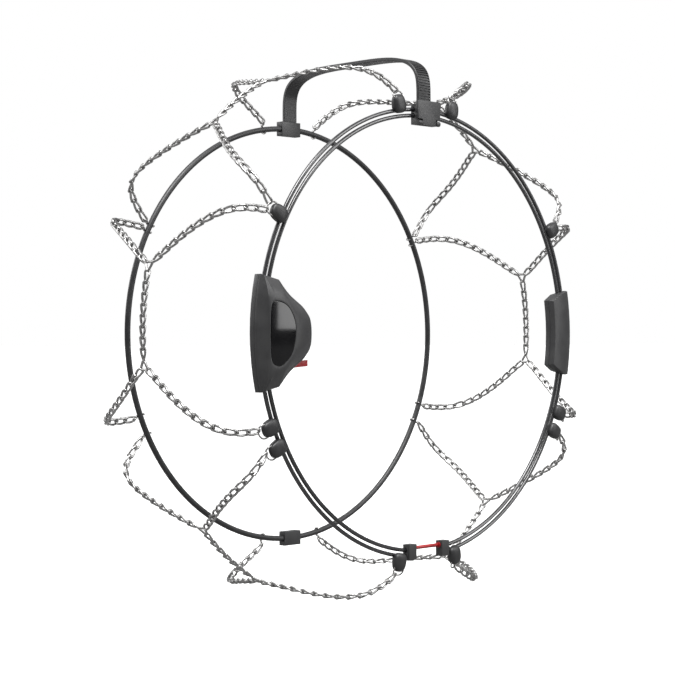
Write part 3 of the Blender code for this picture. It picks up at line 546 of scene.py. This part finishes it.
cable_sheath = new_finish(
    "cable_sheath", (0.014, 0.014, 0.015), (0.024, 0.024, 0.025), 0.0, (900.0, 0.12, 70.0, 0.34, 0.48)
)
housing_plastic = new_finish(
    "housing_plastic", (0.027, 0.027, 0.028), (0.034, 0.034, 0.035), 0.0, (2200.0, 0.16, 45.0, 0.38, 0.48)
)
CABLE_RADIUS = 0.2620
CABLE_Y = 0.1180
CABLE_HALF_THICKNESS = 0.0035
STRAP_ANCHOR_CABLE_X = 0.0126
CONNECTOR_CABLE_X = 0.0106
HOOK_WIRE_RADIUS = 0.0011
HOOK_BEND_RADIUS = 0.0047
for side_name, side in SIDES:
    start = degrees(asin(STRAP_ANCHOR_CABLE_X / CABLE_RADIUS))
    end = 180.0 - degrees(asin(CONNECTOR_CABLE_X / CABLE_RADIUS))
    points = []
    for angle in np.linspace(side * start, side * end, 90):
        points.append(around_wheel(CABLE_RADIUS, angle, CABLE_Y))
    name = f"inner_cable_{side_name}_sheath"
    cable = bend_wire(name, points, CABLE_HALF_THICKNESS, sides=16, smooth=False)
    cable.data.materials.append(cable_sheath)
    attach(cable, "chain")
    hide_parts(f"inner_cable_{side_name}")
    for number, end_angle, _ in CROSS_ROUTES:
        hook_line = [(0.0, 0.0005, 0.0116), (0.0, -0.0016, 0.0108), (0.0, -0.0022, 0.0086)]
        hook_line += [(0.0, -0.0010, 0.0064), (0.0, 0.0030, 0.0052)]
        for bend in (20, 55, 90, 125, 160, 195, 225):
            across = HOOK_BEND_RADIUS * sin(radians(bend))
            hook_line.append((0.0, across, HOOK_BEND_RADIUS * cos(radians(bend))))
        name = f"cable_hook_{side_name}_{number + 1}"
        hook = bend_wire(name, hook_line, HOOK_WIRE_RADIUS, steps=3)
        place = around_wheel(CABLE_RADIUS, side * end_angle, CABLE_Y)
        upright_turn = Matrix.Rotation(radians(side * end_angle), 4, "Y")
        hook.data.transform(Matrix.Translation(place) @ upright_turn)
        hook.data.materials.append(bail_steel)
        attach(hook, "chain")


def copy_node(node, name, finish, bevel=0.0, angle=32.0):
    """The node's own shape as one clean mesh, with its hard edges rounded."""
    bpy.ops.object.select_all(action="DESELECT")
    piece = nodes[node].copy()
    piece.data = nodes[node].data.copy()
    for key in list(piece.keys()):
        del piece[key]
    piece.parent = None
    piece.name = name
    bpy.context.collection.objects.link(piece)
    piece.select_set(True)
    bpy.context.view_layer.objects.active = piece
    piece.data.materials.clear()
    piece.data.materials.append(finish)
    for face in piece.data.polygons:
        face.material_index = 0
    bpy.ops.object.mode_set(mode="EDIT")
    bpy.ops.mesh.select_all(action="SELECT")
    bpy.ops.mesh.remove_doubles(threshold=0.00001)
    bpy.ops.mesh.dissolve_limited(angle_limit=radians(1.0))
    bpy.ops.mesh.select_all(action="DESELECT")
    bpy.ops.object.mode_set(mode="OBJECT")
    if bevel:
        rounded = piece.modifiers.new("rounded_edges", "BEVEL")
        rounded.width = bevel
        rounded.segments = 3
        rounded.limit_method = "ANGLE"
        rounded.angle_limit = radians(35.0)
        rounded.harden_normals = False
        bpy.ops.object.modifier_apply(modifier="rounded_edges")
    bpy.ops.object.shade_smooth_by_angle(angle=radians(angle))
    return piece


for node in ("strap_anchor", "inner_connector"):
    block = copy_node(node, f"{node}_block", housing_plastic, 0.0014)
    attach(block, "chain")
    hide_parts(node)


# ---------------------------------------------------------------- tension housing
# A case of two moulded shells, screwed together, with its bulge towards the hub and a neck at each end
# where the rods go in. It holds the reel that keeps the ring tight, and a plain glossy badge sits in
# its crowned cover.

badge_gloss = new_finish(
    "badge_gloss", (0.004, 0.004, 0.0045), (0.006, 0.006, 0.0065), 0.0, (400.0, 0.0, 30.0, 0.03, 0.04)
)
badge_gloss.node_tree.nodes["Principled BSDF"].inputs["Specular IOR Level"].default_value = 0.32
tray = copy_node("tension_housing_base", "tension_housing_tray", housing_plastic, 0.0004)
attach(tray, "chain")
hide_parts("tension_housing_base")

D_OUTER = 0.2760
D_HALF_HEIGHT = 0.0645
D_HUB_SIDE = (
    (-0.1935, 0.0000),
    (-0.1942, 0.0100),
    (-0.1966, 0.0180),
    (-0.2018, 0.0245),
    (-0.2080, 0.0305),
    (-0.2165, 0.0360),
    (-0.2262, 0.0425),
    (-0.2345, 0.0500),
    (-0.2428, 0.0590),
)
BADGE_CORNERS = (
    (-0.2668, 0.0035),
    (-0.2648, 0.0305),
    (-0.2550, 0.0345),
    (-0.2404, 0.0285),
    (-0.2308, 0.0122),
    (-0.2304, -0.0053),
    (-0.2362, -0.0227),
    (-0.2481, -0.0334),
    (-0.2570, -0.0353),
    (-0.2655, -0.0278),
)


BADGE_MIDDLE = (-0.2490, 0.0)
COVER_LIP_Y = -0.1378
COVER_FOOT_Y = -0.1276
COVER_FOOT_INSET = 0.0034
COVER_INNER_Y = -0.1238
NECK_START_Z = 0.040
NECK_LENGTH = 0.0245


def rounded(corners, steps):
    """A closed smooth curve through the corners."""
    ring = np.array(corners)
    points = []
    for i in range(len(ring)):
        before, start, end, after = (ring[(i + k) % len(ring)] for k in (-1, 0, 1, 2))
        for t in np.arange(steps) / steps:
            bend = (2 * before - 5 * start + 4 * end - after) * t**2
            twist = (3 * start - before - 3 * end + after) * t**3
            points.append((2 * start + (end - before) * t + bend + twist) / 2)
    return np.array(points)


def drawn_in(ring, inset):
    """A closed outline moved inwards by inset, which may differ from point to point."""
    before, after = np.roll(ring, 1, axis=0), np.roll(ring, -1, axis=0)
    area = np.sum(ring[:, 0] * after[:, 1] - after[:, 0] * ring[:, 1])
    normals = []
    for step in (ring - before, after - ring):
        step = step / np.linalg.norm(step, axis=1)[:, None]
        normals.append(np.stack((-step[:, 1], step[:, 0]), axis=1) * np.sign(area))
    middle = normals[0] + normals[1]
    return ring + middle * (2 * inset / np.sum(middle**2, axis=1))[:, None]


def at_depth(ring, y):
    """The outline as points in space, at one depth or at one for each point."""
    return np.stack((ring[:, 0], np.broadcast_to(y, len(ring)), ring[:, 1]), axis=1)


def stack_rings(name, levels, finish):
    """A closed shape through rings of points."""
    shape = bmesh.new()
    rings = [[shape.verts.new(point) for point in level] for level in levels]
    for lower, upper in zip(rings, rings[1:]):
        for i in range(len(lower)):
            j = (i + 1) % len(lower)
            shape.faces.new((lower[i], lower[j], upper[j], upper[i]))
    shape.faces.new(rings[0])
    shape.faces.new(rings[-1])
    bmesh.ops.recalc_face_normals(shape, faces=shape.faces)
    mesh = bpy.data.meshes.new(name)
    shape.to_mesh(mesh)
    shape.free()
    piece = bpy.data.objects.new(name, mesh)
    bpy.context.collection.objects.link(piece)
    mesh.materials.append(finish)
    bpy.ops.object.select_all(action="DESELECT")
    piece.select_set(True)
    bpy.context.view_layer.objects.active = piece
    return piece


hub_side = [(x, -z) for x, z in D_HUB_SIDE[:0:-1]] + list(D_HUB_SIDE)
beyond = [tuple(2 * np.array(hub_side[i]) - hub_side[j]) for i, j in ((0, 1), (-1, -2))]
curve = rounded([beyond[0]] + hub_side + [beyond[1]], 4)[4 : 4 * len(hub_side) + 1]
tread_z = np.linspace(D_HALF_HEIGHT, -D_HALF_HEIGHT, 41)
tread_side = np.stack((-np.sqrt(D_OUTER**2 - tread_z**2), tread_z), axis=1)
upper_end = np.linspace(curve[-1], tread_side[0], 9)[1:-1]
lower_end = np.linspace(tread_side[-1], curve[0], 9)[1:-1]
full = np.concatenate((curve, upper_end, tread_side, lower_end))
on_tread = np.zeros(len(full), bool)
tread_start = len(curve) + len(upper_end)
on_tread[tread_start : tread_start + len(tread_side)] = True

# The crown's foot: a crease along the tread side, a soft shoulder everywhere else.
beside = np.clip((np.abs(full[:, 1]) - NECK_START_Z) / NECK_LENGTH, 0.0, 1.0)
crease = np.stack((-0.2690 + 0.0016 * beside, full[:, 1] * (1 - 0.014 * beside)), axis=1)
foot_plan = np.where(on_tread[:, None], crease, drawn_in(full, COVER_FOOT_INSET))
foot_depth = np.where(on_tread, -0.1362 + 0.0086 * beside**1.4, COVER_FOOT_Y)
foot = at_depth(foot_plan, foot_depth)

# The crown's top: the badge's outline, met along rays from the badge's middle.
lip_line = rounded(BADGE_CORNERS, 24) - BADGE_MIDDLE
lip_turn = np.arctan2(lip_line[:, 1], lip_line[:, 0])
order = np.argsort(lip_turn)
lip_reach = np.hypot(lip_line[:, 0], lip_line[:, 1])
ray_turn = np.arctan2(full[:, 1], full[:, 0] - BADGE_MIDDLE[0])
reach = np.interp(ray_turn, lip_turn[order], lip_reach[order], period=2 * pi)
rays = np.stack((np.cos(ray_turn), np.sin(ray_turn)), axis=1)


def badge_ring(margin, y):
    """The badge's outline with a margin, as points in space."""
    return at_depth(BADGE_MIDDLE + rays * (reach + margin)[:, None], y)


# The cover's rings, from its rim up the wall: insets and depths on the tread side and the hub side.
levels = []
for tread_inset, tread_y, hub_inset, hub_y in (
    (0.0024, -0.1208, 0.0024, -0.1208),
    (0.0002, -0.1208, 0.0002, -0.1208),
    (0.0, -0.1211, 0.0, -0.1211),
    (0.0, -0.1240, 0.0, -0.1230),
    (0.0003, -0.1249, 0.0004, -0.1245),
    (0.0009, -0.1255, 0.0012, -0.1259),
):
    plan = drawn_in(full, np.where(on_tread, tread_inset, hub_inset))
    levels.append(at_depth(plan, np.where(on_tread, tread_y, hub_y)))
near = np.where(on_tread, 0.93, 0.5)[:, None]
levels.append(levels[-1] * (1 - near) + foot * near - (0.0, 0.0003, 0.0))
levels.append(foot)
lip = badge_ring(0.0012, COVER_LIP_Y)
for share in (0.05, 0.11, 0.18, 0.26, 0.35, 0.45, 0.56, 0.68, 0.80, 0.91):
    ring = foot * (1 - share) + lip * share
    ring[:, 1] = foot[:, 1] + (lip[:, 1] - foot[:, 1]) * sin(share * pi / 2)
    levels.append(ring)

# Over the lip, down into the badge's seat, and back to the rim on the inside.
levels += [lip, badge_ring(0.0006, -0.1377), badge_ring(0.0004, -0.1374)]
levels += [badge_ring(0.0004, -0.1366), badge_ring(-0.0040, -0.1366)]
under = badge_ring(-0.0040, -0.1352)
inner_edge = at_depth(drawn_in(full, COVER_FOOT_INSET), COVER_INNER_Y)
levels.append(under)
for share, y in ((0.30, -0.1345), (0.65, -0.1310), (1.0, COVER_INNER_Y)):
    ring = under * (1 - share) + inner_edge * share
    ring[:, 1] = y
    levels.append(ring)
cover = stack_rings("tension_housing_shell", levels, housing_plastic)

# Its first and last rings are joined to each other in place of the two flat ends.
bpy.ops.object.mode_set(mode="EDIT")
bpy.ops.mesh.select_all(action="DESELECT")
shape = bmesh.from_edit_mesh(cover.data)
ends = [face for face in shape.faces if len(face.verts) > 8]
bmesh.ops.delete(shape, geom=ends, context="FACES_ONLY")
bmesh.update_edit_mesh(cover.data)
bpy.ops.mesh.select_all(action="DESELECT")
bpy.ops.mesh.select_non_manifold()
bpy.ops.mesh.bridge_edge_loops()
bpy.ops.mesh.select_all(action="SELECT")
bpy.ops.mesh.normals_make_consistent(inside=False)
bpy.ops.object.mode_set(mode="OBJECT")
bpy.ops.object.shade_smooth_by_angle(angle=radians(32.0))
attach(cover, "chain")
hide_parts("tension_housing_cover")

badge_edge = rounded(BADGE_CORNERS, 8)
badge_levels = [at_depth(badge_edge, -0.1368), at_depth(badge_edge, -0.1378)]
badge_levels.append(at_depth(drawn_in(badge_edge, 0.0003), -0.13805))
badge_levels += [at_depth(drawn_in(badge_edge, inset), -0.1381) for inset in (0.0006, 0.0010)]
badge = stack_rings("badge_plate", badge_levels, badge_gloss)
bpy.ops.object.shade_smooth_by_angle(angle=radians(40.0))
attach(badge, "chain")
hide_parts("badge")


# ---------------------------------------------------------------- reel and release lever
# The reel turns on a steel axle inside the tension housing, and a flat spiral spring winds it back.
# The red lever holds the reel's rim with its shoe, and its tab comes out under the badge.

pin_steel = new_finish(
    "turned_pin_steel", (0.46, 0.46, 0.46), (0.60, 0.60, 0.60), 1.0, (2000.0, 0.06, 300.0, 0.20, 0.32)
)
red_plastic = new_finish(
    "red_plastic", (0.24, 0.004, 0.006), (0.34, 0.006, 0.009), 0.0, (1500.0, 0.05, 80.0, 0.26, 0.38), 0.2
)
reel = copy_node("reel", "reel_spool", cap_plastic, 0.0)
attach(reel, "reel")
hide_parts("reel")
for node in ("reel_axle", "release_lever_pin", "plate_pin", "pawl_pin"):
    pin = copy_node(node, f"{node}_turned", pin_steel, 0.00015)
    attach(pin, "chain")
    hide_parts(node)
spring = copy_node("spiral_spring", "spiral_spring_strip", pin_steel)
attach(spring, "reel")
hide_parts("spiral_spring")
lever = copy_node("release_lever", "release_lever_moulding", red_plastic, 0.0004)
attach(lever, "release_lever")
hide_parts("release_lever")


# ---------------------------------------------------------------- guide housing
# A slim case of the same plastic on the other half of the ring, where both rods slide. Its ends are
# chamfered and its face slopes towards the tread.

tray = copy_node("guide_housing_base", "guide_housing_tray", housing_plastic, 0.0004)
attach(tray, "chain")
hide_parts("guide_housing_base")
cover = copy_node("guide_housing_cover", "guide_housing_shell", housing_plastic, 0.0009)
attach(cover, "chain")
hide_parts("guide_housing_cover")


# ---------------------------------------------------------------- ladder strap
# A moulded strap over the top of the tyre. Its outer end has saw teeth between two smooth rails, and
# the rest is plain. The buckle's pawl drops between the teeth.

strap_rubber = new_finish(
    "strap_rubber", (0.009, 0.009, 0.010), (0.016, 0.016, 0.017), 0.0, (1600.0, 0.12, 55.0, 0.32, 0.44)
)
STRAP_LIFT = 0.0038
STRAP_TAIL_Z = 0.2545
STRAP_ANCHOR_Z = 0.2716
TEETH = 25
TOOTH_PITCH = 0.0032
FLOOR_RISE = 0.0010
RAIL_RISE = 0.0020
UNDERSIDE = -0.0020
strap_height = TYRE_RADIUS - WIDEST_RADIUS + STRAP_LIFT
strap_y = (TYRE_HALF_WIDTH + STRAP_LIFT) * np.sqrt(np.sin(turn))
strap_z = WIDEST_RADIUS + strap_height * np.sqrt(np.abs(np.cos(turn)))
strap_y = np.append(strap_y, strap_y[-1])
strap_z = np.append(strap_z, HUBWARD_END_RADIUS)
strap_s = np.append(0.0, np.cumsum(np.hypot(np.diff(strap_y), np.diff(strap_z))))
tail = float(np.interp(-STRAP_TAIL_Z, -strap_z, strap_s))
inner_end = float(np.interp(-STRAP_ANCHOR_Z, -strap_z, strap_s))

# Stations along the strap, each a run from its tail with the height of its teeth there.
stations = [(0.0, 0.0)]
for tooth in range(TEETH):
    middle = 0.0025 + TOOTH_PITCH * tooth
    stations += [(middle - 0.0009, 0.0), (middle - 0.0006, 0.0010)]
    stations += [(middle + 0.0006, 0.0009), (middle + 0.0011, 0.0)]
plain_from = stations[-1][0] + 0.0004
stations += [(run, 0.0010) for run in np.linspace(plain_from, tail + inner_end, 70)]


def on_strap(reach):
    """Depth and height of the strap this far from the tread's middle, positive to the outer side."""
    y = np.interp(abs(reach), strap_s, strap_y)
    return -np.sign(reach) * y, np.interp(abs(reach), strap_s, strap_z)


shape = bmesh.new()
rings = []
for run, height in stations:
    reach = tail - run
    here = Vector((0.0, *on_strap(reach)))
    ring = []
    y_before, z_before = on_strap(reach - 0.0008)
    y_after, z_after = on_strap(reach + 0.0008)
    slope = Vector((0.0, y_after - y_before, z_after - z_before)).normalized()
    out = slope.cross(Vector((1.0, 0.0, 0.0)))
    if out.dot(here) < 0:
        out = -out
    floor_rise = FLOOR_RISE + height
    for x, rise in (
        (-0.0104, UNDERSIDE),
        (0.0104, UNDERSIDE),
        (0.0110, UNDERSIDE + 0.0006),
        (0.0110, RAIL_RISE - 0.0007),
        (0.0104, RAIL_RISE),
        (0.0094, RAIL_RISE),
        (0.0090, floor_rise),
        (-0.0090, floor_rise),
        (-0.0094, RAIL_RISE),
        (-0.0104, RAIL_RISE),
        (-0.0110, RAIL_RISE - 0.0007),
        (-0.0110, UNDERSIDE + 0.0006),
    ):
        ring.append(shape.verts.new(here + out * rise + Vector((x, 0.0, 0.0))))
    rings.append(ring)
for lower, upper in zip(rings, rings[1:]):
    for i in range(len(lower)):
        j = (i + 1) % len(lower)
        shape.faces.new((lower[i], lower[j], upper[j], upper[i]))
shape.faces.new(rings[0])
shape.faces.new(rings[-1])
bmesh.ops.recalc_face_normals(shape, faces=shape.faces)
strap_mesh = bpy.data.meshes.new("ladder_strap_moulding")
shape.to_mesh(strap_mesh)
shape.free()
strap = bpy.data.objects.new("ladder_strap_moulding", strap_mesh)
bpy.context.collection.objects.link(strap)
strap_mesh.materials.append(strap_rubber)
bpy.ops.object.select_all(action="DESELECT")
strap.select_set(True)
bpy.context.view_layer.objects.active = strap
bpy.ops.object.shade_smooth_by_angle(angle=radians(28.0))
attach(strap, "chain")
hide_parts("ladder_strap")


# ---------------------------------------------------------------- buckle
# A base with two side walls takes the rods' ends and the strap between them. A plate on a pin is
# pulled up to tighten the strap, and a sprung pawl behind it keeps the strap from slipping back.

base = copy_node("buckle_base", "buckle_body", housing_plastic, 0.0004)
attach(base, "chain")
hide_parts("buckle_base")
plate = copy_node("buckle_plate", "buckle_plate_moulding", housing_plastic, 0.0009)
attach(plate, "buckle_plate")
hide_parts("buckle_plate")
pawl = copy_node("pawl", "pawl_stamping", pin_steel, 0.0001)
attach(pawl, "pawl")
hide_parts("pawl")


# ---------------------------------------------------------------- bottom coupling
# Two moulded blocks close the outer ring at the bottom. The red pin bridges them through a red collar
# at the right block, and slid to the right it comes out of the left block and lets the ring open.

for side_name, side in SIDES:
    node = f"coupling_block_{side_name}"
    block = copy_node(node, f"{node}_moulding", housing_plastic, 0.0009)
    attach(block, "chain")
    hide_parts(node)
collar = copy_node("pin_collar", "pin_collar_moulding", red_plastic, 0.0003)
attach(collar, "chain")
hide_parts("pin_collar")
pin = copy_node("locking_pin", "locking_pin_moulding", red_plastic, 0.0005)
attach(pin, "locking_pin")
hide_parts("locking_pin")
